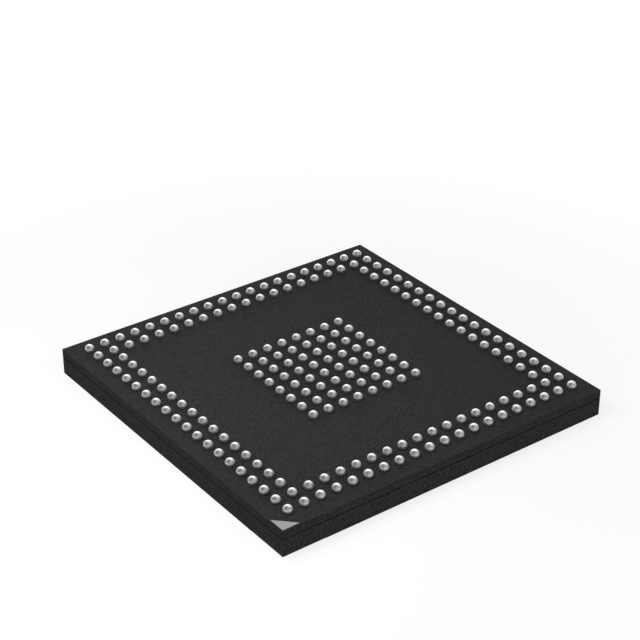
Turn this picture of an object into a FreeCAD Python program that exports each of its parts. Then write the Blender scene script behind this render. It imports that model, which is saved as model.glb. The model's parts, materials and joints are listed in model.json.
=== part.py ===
import FreeCAD, Part
import math
import os
import Sketcher

# A ball grid array chip, lying on its moulded face with the solder balls up.
# The origin is the middle of the moulded face and +Z points at the balls. The A1
# corner is at -X -Y, ball columns run along +X and ball rows along +Y.
# The stack, from z = 0 up: moulded cap with the die and its wires inside, die-side
# mask over the die-side copper, laminate core with its vias, ball-side mask over
# the ball-side copper, and the balls in the mask's openings.

Vec = FreeCAD.Vector
doc = FreeCAD.newDocument("BallGridArray")

# Driving dimensions, in millimetres. Those that end in columns are counts.
driving = [
    ("ball_pitch", 0.80, "centre to centre of neighbouring balls"),
    ("ball_columns", 20, "balls along one edge of the grid"),
    ("centre_columns", 8, "balls along one side of the centre block"),
    ("ball_diameter", 0.45, "solder ball"),
    ("ball_seat", 0.115, "how far the mask's face cuts into the ball"),
    ("edge_margin", 0.90, "outer ball's centre to the sawn edge"),
    ("mould_thickness", 0.82, "moulded cap, up to the die-side mask"),
    ("core_thickness", 0.38, "laminate core between its two copper layers"),
    ("mask_thickness", 0.03, "each solder mask"),
    ("mask_setback", 0.045, "die-side mask, short of the sawn edge"),
    ("mask_clearance", 0.003, "between a ball and the wall of its opening"),
    ("field_margin", 0.08, "mask's hollow over the copper, beyond the outermost pad"),
    ("copper_thickness", 0.02, "both copper layers"),
    ("land_rim", 0.035, "land under the mask, round the opening"),
    ("trace_width", 0.06, "copper trace"),
    ("via_diameter", 0.14, "filled via through the core"),
    ("via_rim", 0.05, "copper pad round a via"),
    ("via_gap", 0.10, "between a land's edge and the via pad in line with it"),
    ("plane_margin", 0.15, "centre copper plane beyond its lands"),
    ("die_side", 6.40, "square silicon die"),
    ("die_thickness", 0.25, "silicon die"),
    ("attach_thickness", 0.025, "adhesive film under the die"),
    ("paddle_margin", 0.25, "copper paddle beyond the die"),
    ("window_margin", 0.08, "opening of the die-side mask round what it bares"),
    ("bond_inset", 0.10, "bond wire's foot, in from the die's edge"),
    ("bond_corner", 0.40, "outermost bond, in from the die's corner"),
    ("bond_diameter", 0.06, "ball bond on the die"),
    ("bond_thickness", 0.02, "ball bond on the die"),
    ("wire_diameter", 0.025, "gold bond wire"),
    ("wire_rise", 0.13, "top of the wire's loop over the die"),
    ("wire_knee", 0.08, "foot of the wire over its finger"),
    ("finger_reach", 1.30, "die's edge to the middle of a bond finger"),
    ("finger_length", 0.40, "bond finger"),
    ("finger_width", 0.10, "bond finger"),
    ("finger_corner", 0.25, "finger row's end to the next side's fingers"),
    ("corner_mark_leg", 0.85, "A1 triangle on the ball side"),
    ("corner_mark_inset", 0.05, "A1 triangle, in from the two sawn edges"),
    ("index_side", 2.10, "square A1 patch on the moulded face"),
    ("index_thickness", 0.02, "A1 patch"),
    ("index_recess", 0.01, "A1 patch below the moulded face"),
]
sheet = doc.addObject("Spreadsheet::Sheet", "Sizes")
for line, (alias, value, note) in enumerate(driving, 1):
    sheet.set("A%d" % line, alias)
    sheet.set("B%d" % line, str(value))
    sheet.set("C%d" % line, note)
    sheet.setAlias("B%d" % line, alias)
doc.recompute()

# Sizes and levels that follow from the driving dimensions.
derived = doc.addObject("App::VarSet", "Derived")


def derive(name, formula):
    derived.addProperty("App::PropertyFloat", name, "Derived")
    derived.setExpression(name, formula)


derive("grid_half", "(Sizes.ball_columns - 1) / 2 * Sizes.ball_pitch")
derive("body_side", "2 * (Derived.grid_half + Sizes.edge_margin)")
derive("core_level", "Sizes.mould_thickness + Sizes.mask_thickness")
derive("finger_level", "Derived.core_level - Sizes.copper_thickness")
derive("cover", "Sizes.mask_thickness - Sizes.copper_thickness")
derive("die_face", "Derived.finger_level - Sizes.attach_thickness - Sizes.die_thickness")
derive("land_level", "Derived.core_level + Sizes.core_thickness")
derive("solder_level", "Derived.land_level + Sizes.copper_thickness")
derive("ball_centre", "Sizes.ball_diameter / 2 - Sizes.ball_seat + Derived.cover")
derive("mask_opening", "2 * sqrt(Sizes.ball_seat * (Sizes.ball_diameter - Sizes.ball_seat))"
       " + 2 * Sizes.mask_clearance")
derive("land_diameter", "Derived.mask_opening + 2 * Sizes.land_rim")
derive("via_pad", "Sizes.via_diameter + 2 * Sizes.via_rim")
derive("centre_span", "(Sizes.centre_columns - 1) * Sizes.ball_pitch")
derive("plane_side", "Derived.centre_span + Derived.land_diameter + 2 * Sizes.plane_margin")
derive("paddle_side", "Sizes.die_side + 2 * Sizes.paddle_margin")
derive("window_side", "Sizes.die_side + 2 * Sizes.window_margin")
derive("finger_out", "Sizes.die_side / 2 + Sizes.finger_reach")
derive("finger_half", "Derived.finger_out - Sizes.finger_length / 2 - Sizes.finger_corner")
derive("finger_window_width", "2 * Derived.finger_half + 2 * Sizes.window_margin")
derive("finger_window_depth", "Sizes.finger_length + 2 * Sizes.window_margin")
derive("bond_half", "Sizes.die_side / 2 - Sizes.bond_corner")
derive("via_half", "Derived.grid_half - Sizes.ball_pitch / 2 + Derived.via_pad / 2")
derive("trace_field", "2 * (Derived.via_half + Sizes.field_margin)")
derive("land_half", "Derived.grid_half + Derived.land_diameter / 2")
derive("land_field", "2 * (Derived.land_half + Sizes.field_margin)")
doc.recompute()

column_count = int(sheet.ball_columns)
centre_count = int(sheet.centre_columns)
centre_first = (column_count - centre_count) // 2
sides = ["front", "right", "back", "left"]


# Sketches and features, with every size bound to the sheet.
def origin_item(body, role):
    return [item for item in body.Origin.OriginFeatures if item.Role == role][0]


def new_body(label):
    body = doc.addObject("PartDesign::Body", label)
    body.Label = label
    return body


def new_sketch(body, name, role="XY_Plane", **offset):
    """A sketch on one of the body's own planes, moved by the expressions in offset."""
    sketch = body.newObject("Sketcher::SketchObject", name)
    sketch.AttachmentSupport = [(origin_item(body, role), "")]
    sketch.MapMode = "FlatFace"
    for direction, formula in offset.items():
        sketch.setExpression("AttachmentOffset.Base." + direction, formula)
    return sketch


def bind(sketch, constraint, name, formula):
    sketch.renameConstraint(sketch.addConstraint(constraint), name)
    sketch.setExpression("Constraints." + name, formula)


def add_loop(sketch, corners):
    """Straight edges from corner to corner, joined end to end."""
    last = len(corners) - 1
    for index, corner in enumerate(corners):
        following = corners[0] if index == last else corners[index + 1]
        sketch.addGeometry(Part.LineSegment(Vec(*corner, 0), Vec(*following, 0)), False)
    for index in range(last + 1):
        following = 0 if index == last else index + 1
        sketch.addConstraint(Sketcher.Constraint("Coincident", index, 2, following, 1))


def rectangle_sketch(body, name, width, depth, **offset):
    """A rectangle whose middle is the sketch's own origin."""
    sketch = new_sketch(body, name, **offset)
    add_loop(sketch, [(-1, -1), (1, -1), (1, 1), (-1, 1)])
    sketch.addConstraint(Sketcher.Constraint("Horizontal", 0))
    sketch.addConstraint(Sketcher.Constraint("Horizontal", 2))
    sketch.addConstraint(Sketcher.Constraint("Vertical", 1))
    sketch.addConstraint(Sketcher.Constraint("Vertical", 3))
    sketch.addConstraint(Sketcher.Constraint("Symmetric", 0, 1, 2, 1, -1, 1))
    bind(sketch, Sketcher.Constraint("Distance", 0, 2.0), "width", width)
    bind(sketch, Sketcher.Constraint("Distance", 1, 2.0), "depth", depth)
    return sketch


def pad(body, sketch, height):
    feature = body.newObject("PartDesign::Pad", sketch.Name + "Pad")
    feature.Profile = sketch
    feature.setExpression("Length", height)
    body.Tip = feature
    doc.recompute()
    return feature


def pocket(body, sketch, depth, upward):
    """Cut the sketch away, towards +Z where upward is true."""
    before = body.Shape.Volume
    feature = body.newObject("PartDesign::Pocket", sketch.Name + "Pocket")
    feature.Profile = sketch
    feature.setExpression("Length", depth)
    feature.Reversed = upward
    body.Tip = feature
    doc.recompute()
    if not body.Shape.Volume < before:
        raise RuntimeError(sketch.Name + " cuts nothing")
    return feature


def plate(label, side, level, thickness):
    """A square slab, centred, from level up."""
    body = new_body(label)
    pad(body, rectangle_sketch(body, label + "_outline", side, side, z=level), thickness)
    return body


def line_pattern(body, feature, columns, rows=1, step="Sizes.ball_pitch"):
    """Copies of a feature along +X and, for more than one row, along +Y."""
    pattern = body.newObject("PartDesign::LinearPattern", feature.Name + "Grid")
    pattern.Originals = [feature]
    pattern.Direction = (origin_item(body, "X_Axis"), [""])
    pattern.setExpression("Length", "%d * %s" % (columns - 1, step))
    pattern.Occurrences = columns
    if rows > 1:
        pattern.Direction2 = (origin_item(body, "Y_Axis"), [""])
        pattern.setExpression("Length2", "%d * %s" % (rows - 1, step))
        pattern.Occurrences2 = rows
    body.Tip = pattern
    doc.recompute()


def cut_away(label, body, tools):
    """The body less the pieces that are embedded in it."""
    bundle = doc.addObject("Part::Compound", label + "_inlays")
    bundle.Links = tools
    cut = doc.addObject("Part::Cut", label)
    cut.Label = label
    cut.Base = body
    cut.Tool = bundle
    doc.recompute()
    return cut


def grid_place(index):
    """Expression for where a ball column or row lies, from its number."""
    return "%d * Sizes.ball_pitch - Derived.grid_half" % index


# Where the balls are: two full rings and a square block in the centre.
ring_last = column_count - 2


def ball_runs(row):
    """(first column, number of balls) of each unbroken run in a row."""
    if row < 2 or row >= ring_last:
        return [(0, column_count)]
    runs = [(0, 2), (ring_last, 2)]
    if centre_first <= row < centre_first + centre_count:
        runs.insert(1, (centre_first, centre_count))
    return runs


# The same places as rectangular blocks: first column, first row, columns, rows.
ring_blocks = [
    (0, 0, column_count, 2),
    (0, ring_last, column_count, 2),
    (0, 2, 2, column_count - 4),
    (ring_last, 2, 2, column_count - 4),
]
centre_block = (centre_first, centre_first, centre_count, centre_count)

# The copper is worked out for the front side and turned to the other three.
signal_columns = range(2, ring_last)
wires_per_side = 2 * len(signal_columns)
outer_row = derived.grid_half
inner_row = outer_row - sheet.ball_pitch
straight_via = inner_row - (derived.land_diameter + derived.via_pad) / 2 - sheet.via_gap
diagonal_via = outer_row - sheet.ball_pitch / 2


def front_point(along, out, level=0.0):
    """A point of the front side: along the edge, and out from the middle."""
    return Vec(along, -out, level)


def spread(index, half_length):
    """Place of one of the evenly spread wires of a side."""
    return half_length * (2 * index / (wires_per_side - 1) - 1)


def copper_strip(points, width, level, pads=()):
    """A strip of foil along the points, with a round pad at some of them."""
    thickness = sheet.copper_thickness
    pieces = []
    for start, end in zip(points, points[1:]):
        run = end - start
        bar = Part.makeBox(run.Length, width, thickness, Vec(0, -width / 2, 0))
        turn = FreeCAD.Rotation(Vec(1, 0, 0), run)
        bar.Placement = FreeCAD.Placement(start + Vec(0, 0, level), turn)
        pieces.append(bar)
    for bend in points[1:-1]:
        pieces.append(Part.makeCylinder(width / 2, thickness, bend + Vec(0, 0, level)))
    for place, diameter in pads:
        pieces.append(Part.makeCylinder(diameter / 2, thickness, place + Vec(0, 0, level)))
    if len(pieces) == 1:
        return pieces[0]
    return pieces[0].fuse(pieces[1:]).removeSplitter()


def bond_wire(foot, finger):
    """Ball bond, then the wire: up from the die, over its edge and down to the finger."""
    radius = sheet.wire_diameter / 2
    corners = [foot, foot - Vec(0, 0, sheet.wire_rise),
               finger - Vec(0, 0, sheet.wire_knee), finger]
    section = Part.Wire(Part.makeCircle(radius, foot, Vec(0, 0, -1)))
    loop = Part.BRepOffsetAPI.MakePipeShell(Part.makePolygon(corners))
    loop.setTransitionMode(1)
    loop.add(section)
    loop.build()
    loop.makeSolid()
    ball = Part.makeCylinder(sheet.bond_diameter / 2, sheet.bond_thickness, foot, Vec(0, 0, -1))
    return ball.fuse(loop.shape())


front_traces = []
front_wires = []
front_lands = []
front_vias = []
for index in range(wires_per_side):
    column = signal_columns[index // 2]
    ball_along = column * sheet.ball_pitch - outer_row
    finger_along = spread(index, derived.finger_half - sheet.finger_width / 2)
    finger_start = front_point(finger_along, derived.finger_out - sheet.finger_length / 2)
    finger_end = front_point(finger_along, derived.finger_out + sheet.finger_length / 2)
    if index % 2 == 0:
        ball = front_point(ball_along, inner_row)
        via = front_point(ball_along, straight_via)
        route = [finger_end, via]
    else:
        ball = front_point(ball_along, outer_row)
        via = front_point(ball_along + sheet.ball_pitch / 2, diagonal_via)
        route = [finger_end, front_point(via.x, straight_via), via]
    finger = copper_strip([finger_start, finger_end], sheet.finger_width, derived.finger_level)
    trace = copper_strip(route, sheet.trace_width, derived.finger_level,
                         [(finger_end, sheet.finger_width), (via, derived.via_pad)])
    front_traces.append(finger.fuse(trace).removeSplitter())
    front_lands.append(copper_strip([ball, via], sheet.trace_width, derived.land_level,
                                    [(ball, derived.land_diameter), (via, derived.via_pad)]))
    front_vias.append(Part.makeCylinder(sheet.via_diameter / 2, sheet.core_thickness,
                                        via + Vec(0, 0, derived.core_level)))
    bond_along = spread(index, derived.bond_half)
    foot = front_point(bond_along, sheet.die_side / 2 - sheet.bond_inset, derived.die_face)
    landing = front_point(finger_along, derived.finger_out, derived.finger_level)
    front_wires.append(bond_wire(foot, landing))

# The four balls at the corner stand on lands that lead nowhere.
for column in (0, 1):
    for row in (outer_row, inner_row):
        place = front_point(column * sheet.ball_pitch - outer_row, row, derived.land_level)
        front_lands.append(Part.makeCylinder(derived.land_diameter / 2,
                                             sheet.copper_thickness, place))


def turned(label, solids, quarter_turns):
    """One object with the front side's solids, turned about the middle."""
    shapes = []
    for quarter in quarter_turns:
        for solid in solids:
            shapes.append(solid.rotated(Vec(0, 0, 0), Vec(0, 0, 1), 90 * quarter))
    item = doc.addObject("Part::Feature", label)
    item.Label = label
    item.Shape = Part.makeCompound(shapes)
    return item


traces = [turned("die_side_traces_" + side, front_traces, [quarter])
          for quarter, side in enumerate(sides)]
wires = [turned("bond_wires_" + side, front_wires, [quarter])
         for quarter, side in enumerate(sides)]
signal_vias = turned("signal_vias", front_vias, range(4))
ball_lands = turned("ball_lands", front_lands, range(4))

# Slabs of the stack.
die = plate("silicon_die", "Sizes.die_side", "Derived.die_face", "Sizes.die_thickness")
attach = plate("die_attach_film", "Sizes.die_side",
               "Derived.finger_level - Sizes.attach_thickness", "Sizes.attach_thickness")
paddle = plate("die_paddle", "Derived.paddle_side", "Derived.finger_level",
               "Sizes.copper_thickness")
centre_plane = plate("centre_copper_plane", "Derived.plane_side", "Derived.land_level",
                     "Sizes.copper_thickness")

# A filled via in each gap between four balls of the centre block.
thermal_vias = new_body("thermal_vias")
via_start = "(Sizes.ball_pitch - Derived.centre_span) / 2"
via_circle = new_sketch(thermal_vias, "ViaCircle", x=via_start, y=via_start,
                        z="Derived.core_level")
via_circle.addGeometry(Part.Circle(Vec(0, 0, 0), Vec(0, 0, 1), 0.1), False)
via_circle.addConstraint(Sketcher.Constraint("Coincident", 0, 3, -1, 1))
bind(via_circle, Sketcher.Constraint("Diameter", 0, 0.2), "bore", "Sizes.via_diameter")
line_pattern(thermal_vias, pad(thermal_vias, via_circle, "Sizes.core_thickness"),
             centre_count - 1, centre_count - 1)

core_slab = plate("core_slab", "Derived.body_side", "Derived.core_level",
                  "Sizes.core_thickness")
core = cut_away("laminate_core", core_slab, [signal_vias, thermal_vias])

# Marks of the A1 corner.
def corner_triangle(body, name, level):
    """A right triangle in the corner at -X -Y, its legs along the two edges."""
    corner = "Sizes.corner_mark_inset - Derived.body_side / 2"
    sketch = new_sketch(body, name, x=corner, y=corner, z=level)
    add_loop(sketch, [(0, 0), (1, 0), (0, 1)])
    sketch.addConstraint(Sketcher.Constraint("Coincident", 0, 1, -1, 1))
    sketch.addConstraint(Sketcher.Constraint("Horizontal", 0))
    sketch.addConstraint(Sketcher.Constraint("Vertical", 2))
    bind(sketch, Sketcher.Constraint("Distance", 0, 1.0), "along", "Sizes.corner_mark_leg")
    bind(sketch, Sketcher.Constraint("Distance", 2, 1.0), "up", "Sizes.corner_mark_leg")
    return sketch


corner_mark = new_body("a1_corner_mark")
pad(corner_mark, corner_triangle(corner_mark, "MarkTriangle", "Derived.land_level"),
    "Sizes.copper_thickness")

index_place = "(Sizes.index_side - Derived.body_side) / 2"
index_patch = new_body("a1_index_patch")
pad(index_patch,
    rectangle_sketch(index_patch, "PatchOutline", "Sizes.index_side", "Sizes.index_side",
                     x=index_place, y=index_place, z="Sizes.index_recess"),
    "Sizes.index_thickness")

# The ball-side mask has an opening for each ball and for the corner mark.
ball_mask = plate("ball_side_mask", "Derived.body_side", "Derived.land_level",
                  "Sizes.mask_thickness")
pocket(ball_mask, rectangle_sketch(ball_mask, "LandField", "Derived.land_field",
                                   "Derived.land_field", z="Derived.land_level"),
       "Sizes.copper_thickness", True)
for number, (column, row, columns, rows) in enumerate(ring_blocks + [centre_block]):
    circle = new_sketch(ball_mask, "Opening%d" % number, x=grid_place(column),
                        y=grid_place(row), z="Derived.land_level")
    circle.addGeometry(Part.Circle(Vec(0, 0, 0), Vec(0, 0, 1), 0.2), False)
    circle.addConstraint(Sketcher.Constraint("Coincident", 0, 3, -1, 1))
    bind(circle, Sketcher.Constraint("Diameter", 0, 0.4), "bore", "Derived.mask_opening")
    line_pattern(ball_mask, pocket(ball_mask, circle, "Sizes.mask_thickness", True),
                 columns, rows)
pocket(ball_mask, corner_triangle(ball_mask, "MarkOpening", "Derived.land_level"),
       "Sizes.mask_thickness", True)


# Die-side mask and moulded cap: the cap fills what the mask leaves bare.
def bared_areas(body, action, *more):
    """The mask's windows, over the die and over each row of fingers."""
    level = "Sizes.mould_thickness"
    action(body, rectangle_sketch(body, "DieWindow", "Derived.window_side",
                                  "Derived.window_side", z=level), *more)
    width = "Derived.finger_window_width"
    depth = "Derived.finger_window_depth"
    out = "Derived.finger_out"
    action(body, rectangle_sketch(body, "FrontWindow", width, depth, y="-" + out, z=level),
           *more)
    action(body, rectangle_sketch(body, "RightWindow", depth, width, x=out, z=level), *more)
    action(body, rectangle_sketch(body, "BackWindow", width, depth, y=out, z=level), *more)
    action(body, rectangle_sketch(body, "LeftWindow", depth, width, x="-" + out, z=level),
           *more)


die_mask = plate("die_side_mask", "Derived.body_side - 2 * Sizes.mask_setback",
                 "Sizes.mould_thickness", "Sizes.mask_thickness")
bared_areas(die_mask, pocket, "Derived.cover", True)
pocket(die_mask, rectangle_sketch(die_mask, "TraceField", "Derived.trace_field",
                                  "Derived.trace_field", z="Derived.core_level"),
       "Sizes.copper_thickness", False)

mould_block = plate("mould_block", "Derived.body_side", "0", "Sizes.mould_thickness")
bared_areas(mould_block, pad, "Derived.cover")
pocket(mould_block,
       rectangle_sketch(mould_block, "DieCavity", "Sizes.die_side", "Sizes.die_side",
                        z="Derived.finger_level"),
       "Sizes.die_thickness + Sizes.attach_thickness", False)
pocket(mould_block,
       rectangle_sketch(mould_block, "PatchRecess", "Sizes.index_side", "Sizes.index_side",
                        x=index_place, y=index_place),
       "Sizes.index_recess + Sizes.index_thickness", True)
mould_cap = cut_away("mould_cap", mould_block, wires)

# Solder balls, one body for each row: spheres cut flat where they wet the land.
def ball_profile(body, name, column):
    sketch = new_sketch(body, name, "XZ_Plane", x=grid_place(column))
    radius, height = 0.225, 0.135
    foot = math.sqrt(radius ** 2 - height ** 2)
    top = height + radius
    sketch.addGeometry(Part.LineSegment(Vec(0, 0, 0), Vec(foot, 0, 0)), False)
    circle = Part.Circle(Vec(0, height, 0), Vec(0, 0, 1), radius)
    start = math.atan2(-height, foot)
    sketch.addGeometry(Part.ArcOfCircle(circle, start, math.pi / 2), False)
    sketch.addGeometry(Part.LineSegment(Vec(0, top, 0), Vec(0, 0, 0)), False)
    sketch.addConstraint(Sketcher.Constraint("Coincident", 0, 1, -1, 1))
    sketch.addConstraint(Sketcher.Constraint("Coincident", 0, 2, 1, 1))
    sketch.addConstraint(Sketcher.Constraint("Coincident", 1, 2, 2, 1))
    sketch.addConstraint(Sketcher.Constraint("Coincident", 2, 2, 0, 1))
    sketch.addConstraint(Sketcher.Constraint("Horizontal", 0))
    sketch.addConstraint(Sketcher.Constraint("Vertical", 2))
    sketch.addConstraint(Sketcher.Constraint("PointOnObject", 1, 3, -2))
    bind(sketch, Sketcher.Constraint("Radius", 1, radius), "radius",
         "Sizes.ball_diameter / 2")
    bind(sketch, Sketcher.Constraint("DistanceY", -1, 1, 1, 3, height), "centre",
         "Derived.ball_centre")
    return sketch


row_letters = "abcdefghjklmnprtuvwy"


def row_name(row):
    """Rows are lettered from the A1 corner; past the last letter they double up."""
    return "ball_row_" + row_letters[row % 20] * (1 + row // 20)


ball_rows = []
for row in range(column_count):
    body = new_body(row_name(row))
    body.setExpression("Placement.Base.y", grid_place(row))
    body.setExpression("Placement.Base.z", "Derived.solder_level")
    for column, balls in ball_runs(row):
        sketch = ball_profile(body, "Ball%d" % column, column)
        ball = body.newObject("PartDesign::Revolution", "BallTurn%d" % column)
        ball.Profile = sketch
        ball.ReferenceAxis = (sketch, ["V_Axis"])
        ball.Angle = 360
        body.Tip = ball
        doc.recompute()
        line_pattern(body, ball, balls)
    ball_rows.append(body)

# Each piece is looked at before any is written, one file for each.
doc.recompute()
pieces = [mould_cap, index_patch, die, attach, die_mask, paddle, core, signal_vias,
          thermal_vias, ball_lands, centre_plane, corner_mark, ball_mask]
pieces += traces + wires + ball_rows
for item in doc.Objects:
    if "Invalid" in item.State or "Error" in item.State:
        raise RuntimeError(item.Label + " did not compute")
os.makedirs("parts", exist_ok=True)
for piece in pieces:
    shape = piece.Shape
    if shape.isNull() or not shape.isValid() or not shape.Solids:
        raise RuntimeError(piece.Label + " has no sound shape")
for piece in pieces:
    piece.Shape.exportStep("parts/" + piece.Label + ".step")
    print("%-24s %3d solids %10.4f mm3" % (piece.Label, len(piece.Shape.Solids),
                                           piece.Shape.Volume))
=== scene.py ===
import json
import math

import bpy
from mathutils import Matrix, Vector


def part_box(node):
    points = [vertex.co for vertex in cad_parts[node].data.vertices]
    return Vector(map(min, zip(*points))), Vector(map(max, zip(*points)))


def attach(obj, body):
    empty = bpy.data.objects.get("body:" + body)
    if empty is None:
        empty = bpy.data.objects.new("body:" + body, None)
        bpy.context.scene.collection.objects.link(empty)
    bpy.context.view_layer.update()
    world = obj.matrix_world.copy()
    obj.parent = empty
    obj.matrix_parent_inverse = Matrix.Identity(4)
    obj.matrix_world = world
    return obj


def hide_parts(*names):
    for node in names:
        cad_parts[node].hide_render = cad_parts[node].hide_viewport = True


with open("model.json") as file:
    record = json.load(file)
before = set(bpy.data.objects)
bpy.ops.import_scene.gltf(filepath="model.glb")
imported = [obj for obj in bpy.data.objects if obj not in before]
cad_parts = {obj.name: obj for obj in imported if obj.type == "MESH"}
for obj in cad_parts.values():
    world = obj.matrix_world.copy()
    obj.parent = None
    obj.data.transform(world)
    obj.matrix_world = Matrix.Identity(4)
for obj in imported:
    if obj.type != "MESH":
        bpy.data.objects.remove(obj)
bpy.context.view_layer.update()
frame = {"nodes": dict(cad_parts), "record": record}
nodes = frame["nodes"]
scene = bpy.context.scene
millimetre = 0.001
print("frame loaded:", len(nodes), "nodes")


class Value:
    # a socket that carries a number, so that sums on it are written as Python
    def __init__(self, builder, socket):
        self.builder = builder
        self.socket = socket

    def maths(self, operation, other=0.0, swapped=False, clamped=False):
        settings = {"operation": operation, "use_clamp": clamped}
        first, second = (other, self) if swapped else (self, other)
        return self.builder.add("ShaderNodeMath", settings, {0: first, 1: second}).value()

    def __add__(self, other):
        return self.maths("ADD", other)

    def __sub__(self, other):
        return self.maths("SUBTRACT", other)

    def __rsub__(self, other):
        return self.maths("SUBTRACT", other, swapped=True)

    def __mul__(self, other):
        return self.maths("MULTIPLY", other)

    def __truediv__(self, other):
        return self.maths("DIVIDE", other)

    def __rtruediv__(self, other):
        return self.maths("DIVIDE", other, swapped=True)

    def clamp(self):
        return self.maths("ADD", 0.0, clamped=True)

    __radd__ = __add__
    __rmul__ = __mul__


class Made:
    # a node that was just added, and its outputs by name
    def __init__(self, builder, node):
        self.builder = builder
        self.node = node

    def out(self, name=0):
        return self.node.outputs[name]

    def value(self, name=0):
        return Value(self.builder, self.node.outputs[name])


class Builder:
    # adds nodes to one tree: settings first, then the values or links of the sockets
    def __init__(self, tree):
        self.tree = tree
        tree.nodes.clear()

    def add(self, kind, settings=None, sockets=None):
        node = self.tree.nodes.new(kind)
        for name, setting in (settings or {}).items():
            setattr(node, name, setting)
        for name, given in (sockets or {}).items():
            self.join(given, node.inputs[name])
        return Made(self, node)

    def join(self, given, socket):
        if isinstance(given, Value):
            given = given.socket
        if isinstance(given, Made):
            given = given.out()
        if isinstance(given, bpy.types.NodeSocket):
            self.tree.links.new(given, socket)
        else:
            socket.default_value = given

    def mix(self, amount, first, second):
        # a colour between two colours
        settings = {"data_type": "RGBA", "clamp_factor": True}
        return self.add("ShaderNodeMix", settings, {0: amount, 6: first, 7: second}).out(2)


def grey(level):
    return (level, level, level, 1.0)


def newMaterial(name):
    material = bpy.data.materials.new(name)
    material.use_nodes = True
    return material, Builder(material.node_tree)


def noise(builder, place, size, detail=2.0, roughness=0.5):
    # soft noise from 0 to 1, with features about as large as size
    return builder.add("ShaderNodeTexNoise", {"noise_dimensions": "3D"}, {
        "Vector": place, "Scale": 1.0 / size, "Detail": detail, "Roughness": roughness,
    }).value("Fac")


def bumped(builder, height, depth):
    return builder.add("ShaderNodeBump", None, {
        "Strength": 1.0, "Distance": depth, "Height": height,
    }).out("Normal")


# Painted shade round the body where the moulding meets the laminate. The groove is in the
# imported solids, and the finish of both sides paints a near-black band over it, up to soft
# edges, to deepen the shade in it.
seamLow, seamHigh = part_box("die_side_mask")
seamShadeLook = {
    "height": (seamLow.z + seamHigh.z) / 2, "half width": 0.016 * millimetre,
    "soft edge": 0.006 * millimetre, "level": 0.004,
}


# dark and matt surfaces: filler grains in a resin, with slow clouds over them, and the
# seam's painted shade
def filledResin(name, look):
    material, build = newMaterial(name)
    place = build.add("ShaderNodeTexCoord").out("Object")
    grain = noise(build, place, look["grain"], detail=1.0)
    cloud = noise(build, place, look["cloud"], detail=3.0)
    grains = (grain - 0.5) * look["graining"]
    clouds = (cloud - 0.5) * look["clouding"]
    speckle = (grains + clouds + 0.5).clamp()
    dark = grey(look["level"] * (1.0 - look["contrast"]))
    light = grey(look["level"] * (1.0 + look["contrast"]))
    height = build.add("ShaderNodeSeparateXYZ", None, {0: place}).value("Z")
    # painted shade: near the seam's height the colour goes to a near-black level, darker
    # than the groove's own shade
    off = (height - seamShadeLook["height"]).maths("ABSOLUTE") - seamShadeLook["half width"]
    plain = (off / seamShadeLook["soft edge"]).clamp()
    colour = build.mix(plain, grey(seamShadeLook["level"]), build.mix(speckle, dark, light))
    finish = build.add("ShaderNodeBsdfPrincipled", None, {
        "Base Color": colour,
        "Roughness": look["roughness"] + (grain - 0.5) * look["unevenness"],
        "Specular IOR Level": look["specular"],
        "Normal": bumped(build, grain, look["relief"]),
    })
    build.add("ShaderNodeOutputMaterial", None, {"Surface": finish})
    return material


mouldLook = {
    "level": 0.0244, "contrast": 0.50,
    "grain": 0.060 * millimetre, "graining": 3.0,
    "cloud": 1.2 * millimetre, "clouding": 0.3,
    "roughness": 0.75, "unevenness": 0.2, "specular": 0.04,
    "relief": 0.0012 * millimetre,
}
laminateLook = {
    "level": 0.0230, "contrast": 0.42,
    "grain": 0.060 * millimetre, "graining": 3.0,
    "cloud": 0.8 * millimetre, "clouding": 0.3,
    "roughness": 0.75, "unevenness": 0.2, "specular": 0.04,
    "relief": 0.0010 * millimetre,
}
maskLook = {
    "level": 0.0288, "contrast": 0.36,
    "grain": 0.065 * millimetre, "graining": 3.0,
    "cloud": 2.5 * millimetre, "clouding": 0.25,
    "roughness": 0.68, "unevenness": 0.2, "specular": 0.03,
    "relief": 0.0006 * millimetre,
}


# bright metals: solder, and the copper and gold that lie inside
def metalFinish(name, look):
    material, build = newMaterial(name)
    place = build.add("ShaderNodeTexCoord").out("Object")
    crystals = build.add("ShaderNodeTexVoronoi", {"feature": "SMOOTH_F1"}, {
        "Vector": place, "Scale": 1.0 / look["crystal"], "Smoothness": 0.6,
    }).value("Distance")
    haze = noise(build, place, look["haze"])
    finish = build.add("ShaderNodeBsdfPrincipled", None, {
        "Base Color": build.mix(haze, look["dull"], look["bright"]),
        "Metallic": 1.0,
        "Roughness": look["roughness"] + (haze - 0.5) * look["unevenness"],
        "Normal": bumped(build, crystals, look["relief"]),
    })
    build.add("ShaderNodeOutputMaterial", None, {"Surface": finish})
    return material


solderLook = {
    "bright": grey(0.87), "dull": grey(0.74),
    "crystal": 0.07 * millimetre, "haze": 0.12 * millimetre,
    "roughness": 0.40, "unevenness": 0.10, "relief": 0.0015 * millimetre,
}
copperLook = {
    "bright": (0.80, 0.42, 0.27, 1.0), "dull": (0.62, 0.30, 0.18, 1.0),
    "crystal": 0.04 * millimetre, "haze": 0.2 * millimetre,
    "roughness": 0.35, "unevenness": 0.10, "relief": 0.001 * millimetre,
}
goldLook = {
    "bright": (0.95, 0.70, 0.28, 1.0), "dull": (0.85, 0.60, 0.22, 1.0),
    "crystal": 0.02 * millimetre, "haze": 0.1 * millimetre,
    "roughness": 0.2, "unevenness": 0.10, "relief": 0.0005 * millimetre,
}


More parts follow.
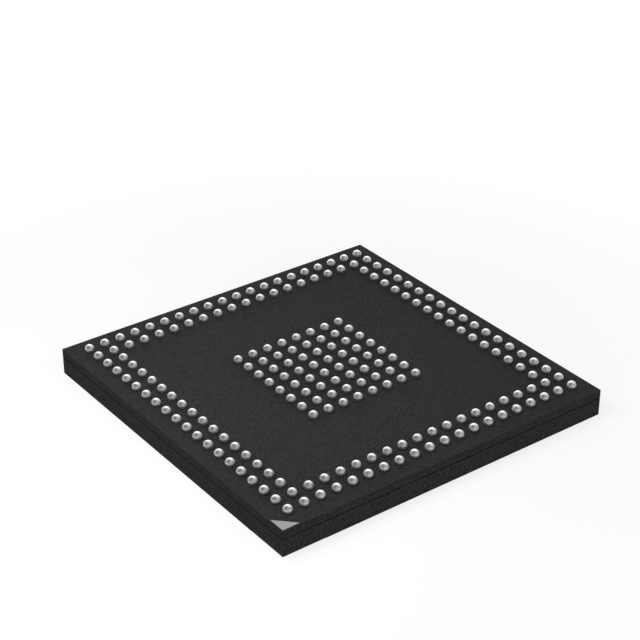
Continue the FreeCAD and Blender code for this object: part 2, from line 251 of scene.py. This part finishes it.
# flat greys: the tinned triangle, the ink patch, the die and its film, a little speckled
def speckledFilm(name, look):
    material, build = newMaterial(name)
    place = build.add("ShaderNodeTexCoord").out("Object")
    speckle = noise(build, place, look["speckle"], detail=3.0, roughness=0.7)
    spread = (0.5 + (speckle - 0.5) * look["contrast"]).clamp()
    dark = grey(look["level"] * look["darkest"])
    light = grey(look["level"] * look["lightest"])
    finish = build.add("ShaderNodeBsdfPrincipled", None, {
        "Base Color": build.mix(spread, dark, light),
        "Roughness": look["roughness"] + (speckle - 0.5) * look["unevenness"],
        "Specular IOR Level": look["specular"],
        "Normal": bumped(build, speckle, look["relief"]),
    })
    build.add("ShaderNodeOutputMaterial", None, {"Surface": finish})
    return material


triangleLook = {
    "level": 0.31, "darkest": 0.4, "lightest": 1.6,
    "contrast": 1.1, "speckle": 0.05 * millimetre,
    "roughness": 0.45, "unevenness": 0.2, "specular": 0.3,
    "relief": 0.0006 * millimetre,
}
patchLook = {
    "level": 0.19, "darkest": 0.4, "lightest": 1.6,
    "contrast": 1.3, "speckle": 0.035 * millimetre,
    "roughness": 0.7, "unevenness": 0.2, "specular": 0.2,
    "relief": 0.0015 * millimetre,
}
filmLook = {
    "level": 0.28, "darkest": 0.4, "lightest": 1.6,
    "contrast": 0.3, "speckle": 0.08 * millimetre,
    "roughness": 0.6, "unevenness": 0.2, "specular": 0.3,
    "relief": 0.001 * millimetre,
}
siliconLook = {
    "level": 0.10, "darkest": 0.4, "lightest": 1.6,
    "contrast": 0.2, "speckle": 0.3 * millimetre,
    "roughness": 0.3, "unevenness": 0.2, "specular": 0.5,
    "relief": 0.0002 * millimetre,
}

finishOfSlot = {
    "moulding_compound": filledResin("mouldingCompound", mouldLook),
    "laminate": filledResin("sawnLaminate", laminateLook),
    "solder_mask": filledResin("solderMask", maskLook),
    "solder": metalFinish("solder", solderLook),
    "buried_copper": metalFinish("copperFoil", copperLook),
    "gold_wire": metalFinish("goldWire", goldLook),
    "bare_copper": speckledFilm("tinnedTriangle", triangleLook),
    "index_ink": speckledFilm("indexInk", patchLook),
    "die_adhesive": speckledFilm("dieAdhesive", filmLook),
    "silicon": speckledFilm("silicon", siliconLook),
}
for part in frame["record"]["subparts"]:
    for slot in nodes[part["node"]].material_slots:
        slot.material = finishOfSlot[part["material_slot"]]
print("finishes given to", len(nodes), "nodes")


# Solder balls: the points of a square grid, thinned to two rings and a centre block,
# with one low ball on each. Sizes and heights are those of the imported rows, and the foot
# is a little wider than theirs, so that its flats still fill the mask's round opening.
firstLow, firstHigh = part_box("ball_row_a")
lastLow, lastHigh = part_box("ball_row_y")
ballLook = {
    "Diameter": firstHigh.y - firstLow.y,
    "Span": lastLow.y - firstLow.y,
    "Foot": firstLow.z,
    "Foot Width": 0.408 * millimetre,
    "Top": firstHigh.z,
    "Columns": 20,
    "Rings": 2,
    "Centre Block": 8,
    "Segments": 14,
    "Bands": 6,
}


def solderBallTree(look, material):
    tree = bpy.data.node_groups.new("solderBallGrid", "GeometryNodeTree")
    build = Builder(tree)
    for name, size in look.items():
        kind = "NodeSocketInt" if isinstance(size, int) else "NodeSocketFloat"
        tree.interface.new_socket(name, in_out="INPUT", socket_type=kind)
    tree.interface.new_socket("Geometry", in_out="OUTPUT", socket_type="NodeSocketGeometry")
    given = build.add("NodeGroupInput")
    size = {name: given.value(name) for name in look}
    quarterTurn = math.pi / 2
    hair = 0.01  # a share too small to matter

    # one ball: a sphere whose lowest band is drawn in to a flat foot
    radius = size["Diameter"] * 0.5
    centre = size["Top"] - radius
    footAngle = ((size["Foot"] - centre) / radius).maths("ARCSINE")
    sphere = build.add("GeometryNodeMeshUVSphere", None, {
        "Segments": size["Segments"], "Rings": size["Bands"], "Radius": 1.0,
    })
    position = build.add("GeometryNodeInputPosition")
    at = build.add("ShaderNodeSeparateXYZ", None, {0: position})
    lowestBand = math.pi / size["Bands"] - quarterTurn
    share = (at.value("Z").maths("ARCSINE") - lowestBand) / (quarterTurn - lowestBand)
    angle = footAngle + share.clamp() * (quarterTurn - footAngle)
    level = build.add("ShaderNodeCombineXYZ", None,
                      {"X": at.value("X"), "Y": at.value("Y")})
    spoke = build.add("ShaderNodeVectorMath", {"operation": "NORMALIZE"}, {0: level})
    wetted = share.maths("LESS_THAN", hair) * size["Foot Width"] * 0.5
    reach = (angle.maths("COSINE") * radius).maths("MAXIMUM", wetted)
    outward = build.add("ShaderNodeVectorMath", {"operation": "SCALE"},
                        {0: spoke, "Scale": reach})
    height = centre + angle.maths("SINE") * radius
    upward = build.add("ShaderNodeCombineXYZ", None, {"Z": height})
    rounded = build.add("ShaderNodeVectorMath", {"operation": "ADD"},
                        {0: outward, 1: upward})
    ball = build.add("GeometryNodeSetPosition", None,
                     {"Geometry": sphere, "Position": rounded})
    normal = build.add("GeometryNodeInputNormal")
    facing = build.add("ShaderNodeSeparateXYZ", None, {0: normal})
    roundSide = facing.value("Z").maths("GREATER_THAN", hair - 1.0)
    ball = build.add("GeometryNodeSetShadeSmooth", None, {
        "Geometry": ball, "Selection": roundSide, "Shade Smooth": True,
    })

    # the grid, and how far out each point lies in steps of the pitch
    grid = build.add("GeometryNodeMeshGrid", None, {
        "Size X": size["Span"], "Size Y": size["Span"],
        "Vertices X": size["Columns"], "Vertices Y": size["Columns"],
    })
    pitch = size["Span"] / (size["Columns"] - 1)
    position = build.add("GeometryNodeInputPosition")
    spot = build.add("ShaderNodeSeparateXYZ", None, {0: position})
    across = spot.value("X").maths("ABSOLUTE")
    steps = across.maths("MAXIMUM", spot.value("Y").maths("ABSOLUTE")) / pitch
    inRings = steps.maths("GREATER_THAN", size["Columns"] * 0.5 - size["Rings"])
    inBlock = steps.maths("LESS_THAN", size["Centre Block"] * 0.5)
    placed = build.add("GeometryNodeInstanceOnPoints", None, {
        "Points": grid, "Selection": inRings.maths("MAXIMUM", inBlock), "Instance": ball,
    })
    realized = build.add("GeometryNodeRealizeInstances", None, {0: placed})
    finished = build.add("GeometryNodeSetMaterial", None,
                         {"Geometry": realized, "Material": material})
    build.add("NodeGroupOutput", None, {"Geometry": finished})
    return tree


def grown(name, tree, look):
    # a piece made by a geometry tree, as a plain mesh without its modifier
    piece = bpy.data.objects.new(name, bpy.data.meshes.new(name))
    scene.collection.objects.link(piece)
    modifier = piece.modifiers.new("shape", "NODES")
    modifier.node_group = tree
    for item in tree.interface.items_tree:
        if item.in_out == "INPUT":
            modifier[item.identifier] = look[item.name]
    evaluated = piece.evaluated_get(bpy.context.evaluated_depsgraph_get())
    mesh = bpy.data.meshes.new_from_object(evaluated)
    piece.modifiers.clear()
    piece.data = mesh
    return piece


ballRows = [name for name in nodes if name.startswith("ball_row_")]
ballTree = solderBallTree(ballLook, finishOfSlot["solder"])
solderBalls = grown("solder_balls", ballTree, ballLook)
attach(solderBalls, "root")
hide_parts(*ballRows)
print("solder balls:", len(solderBalls.data.polygons), "faces")


# camera, at the photograph's angle and distance; places are in millimetres
cameraLook = {
    "lens": 99.684, "sensor": 36.0, "nearest": 1.0, "farthest": 10000.0,
    "place": (-40.1744, -53.3412, 42.3241), "forward": (0.518076, 0.693951, -0.500029),
}
lens = bpy.data.cameras.new("camera")
lens.lens = cameraLook["lens"]
lens.sensor_width = cameraLook["sensor"]
lens.clip_start = cameraLook["nearest"] * millimetre
lens.clip_end = cameraLook["farthest"] * millimetre
camera = bpy.data.objects.new("camera", lens)
scene.collection.objects.link(camera)
camera.location = Vector(cameraLook["place"]) * millimetre
camera.rotation_mode = "QUATERNION"
camera.rotation_quaternion = Vector(cameraLook["forward"]).to_track_quat("-Z", "Y")
scene.camera = camera
print("camera placed")


# floor: pale to plain surfaces; the camera, metal and glass see it as white, with the
# object's own faint shadow round it
floorLook = {
    "half": 600 * millimetre, "level": 0.80, "glow": 0.75, "shadow": 0.28,
    "shadow within": 11 * millimetre, "white beyond": 24 * millimetre,
}
half = floorLook["half"]
floorMesh = bpy.data.meshes.new("floor")
corners = [(-half, -half, 0), (half, -half, 0), (half, half, 0), (-half, half, 0)]
floorMesh.from_pydata(corners, [], [(0, 1, 2, 3)])
floor = bpy.data.objects.new("floor", floorMesh)
scene.collection.objects.link(floor)
floorPaint, build = newMaterial("paleFloor")
place = build.add("ShaderNodeTexCoord").out("Object")
away = build.add("ShaderNodeVectorMath", {"operation": "LENGTH"}, {0: place}).value("Value")
fadeWidth = floorLook["white beyond"] - floorLook["shadow within"]
fade = ((away - floorLook["shadow within"]) / fadeWidth).clamp()
plain = build.add("ShaderNodeBsdfDiffuse", None, {"Color": grey(floorLook["level"])})
shaded = build.add("ShaderNodeBsdfDiffuse", None, {
    "Color": build.mix(fade, grey(floorLook["shadow"]), grey(0.0)),
})
glow = build.add("ShaderNodeEmission", None, {
    "Color": build.mix(fade, grey(floorLook["glow"]), grey(1.0)),
})
white = build.add("ShaderNodeAddShader", None, {0: shaded, 1: glow})
path = build.add("ShaderNodeLightPath")
seen = path.value("Is Camera Ray") + path.value("Is Glossy Ray")
seen = (seen + path.value("Is Transmission Ray")).clamp()
mixed = build.add("ShaderNodeMixShader", None, {0: seen, 1: plain, 2: white})
build.add("ShaderNodeOutputMaterial", None, {"Surface": mixed})
floorMesh.materials.append(floorPaint)


# world: white for the camera and an even level for plain surfaces; metal sees a backdrop
# that is white beyond the object, dark on the camera's side and lighter at the horizon
worldLook = {
    "even": 0.33, "near": 0.185, "far": 1.0, "beyond": (0.43, 0.90, 0.0),
    "start": 0.40, "end": 1.0, "horizon": 0.45, "horizon band": 0.35,
}
world = bpy.data.worlds.new("studio")
scene.world = world
world.use_nodes = True
build = Builder(world.node_tree)
path = build.add("ShaderNodeLightPath")
direction = build.add("ShaderNodeTexCoord").out("Generated")
beyond = build.add("ShaderNodeVectorMath", {"operation": "DOT_PRODUCT"},
                   {0: direction, 1: worldLook["beyond"]}).value("Value")
rise = (beyond - worldLook["start"]) / (worldLook["end"] - worldLook["start"])
height = build.add("ShaderNodeSeparateXYZ", None, {0: direction}).value("Z")
low = (1.0 - height.maths("ABSOLUTE") / worldLook["horizon band"]).clamp()
backdrop = worldLook["near"] + rise.clamp() * (worldLook["far"] - worldLook["near"])
backdrop = backdrop + low * worldLook["horizon"]
reflected = (path.value("Is Glossy Ray") + path.value("Is Transmission Ray")).clamp()
byCamera = path.value("Is Camera Ray")
unseen = reflected * backdrop + (1.0 - reflected) * worldLook["even"]
background = build.add("ShaderNodeBackground", None, {
    "Color": grey(1.0), "Strength": byCamera + (1.0 - byCamera) * unseen,
})
build.add("ShaderNodeOutputWorld", None, {"Surface": background})
print("floor and world ready")


# Lamps: four soft boxes that only metal shows, and two fills that light only plain
# surfaces, from the left and the front. Sizes and distances are in metres, angles in
# degrees, and the level is the brightness of the lamp's own face.
def softBox(name, look):
    lamp = bpy.data.lights.new(name, "AREA")
    lamp.shape = "DISK"
    lamp.size = look["size"]
    lamp.energy = look["level"] * math.pi * math.pi * look["size"] ** 2 / 4
    box = bpy.data.objects.new(name, lamp)
    scene.collection.objects.link(box)
    azimuth = math.radians(look["azimuth"])
    elevation = math.radians(look["elevation"])
    level = math.cos(elevation)
    outward = Vector((level * math.cos(azimuth), level * math.sin(azimuth),
                      math.sin(elevation)))
    box.location = outward * look["distance"]
    box.rotation_mode = "QUATERNION"
    box.rotation_quaternion = outward.to_track_quat("Z", "Y")
    box.visible_camera = False
    box.visible_glossy = look["mirrored"]
    box.visible_diffuse = not look["mirrored"]


lampLooks = {
    "farBox": {"mirrored": True, "size": 0.20, "distance": 0.24, "level": 1.50,
               "azimuth": 54, "elevation": 44},
    "leftBox": {"mirrored": True, "size": 0.13, "distance": 0.24, "level": 0.80,
                "azimuth": 84, "elevation": 26},
    "rightBox": {"mirrored": True, "size": 0.19, "distance": 0.24, "level": 1.00,
                 "azimuth": -5, "elevation": 48},
    "nearBox": {"mirrored": True, "size": 0.34, "distance": 0.26, "level": 0.25,
                "azimuth": -92, "elevation": 36},
    "leftFill": {"mirrored": False, "size": 0.020, "distance": 0.0333, "level": 6.0,
                 "azimuth": 178, "elevation": 61},
    "frontFill": {"mirrored": False, "size": 0.36, "distance": 0.28, "level": 1.50,
                  "azimuth": -84, "elevation": 17},
}
for name, look in lampLooks.items():
    softBox(name, look)
print("lamps:", len(lampLooks))

view = scene.view_settings
view.view_transform = "Standard"
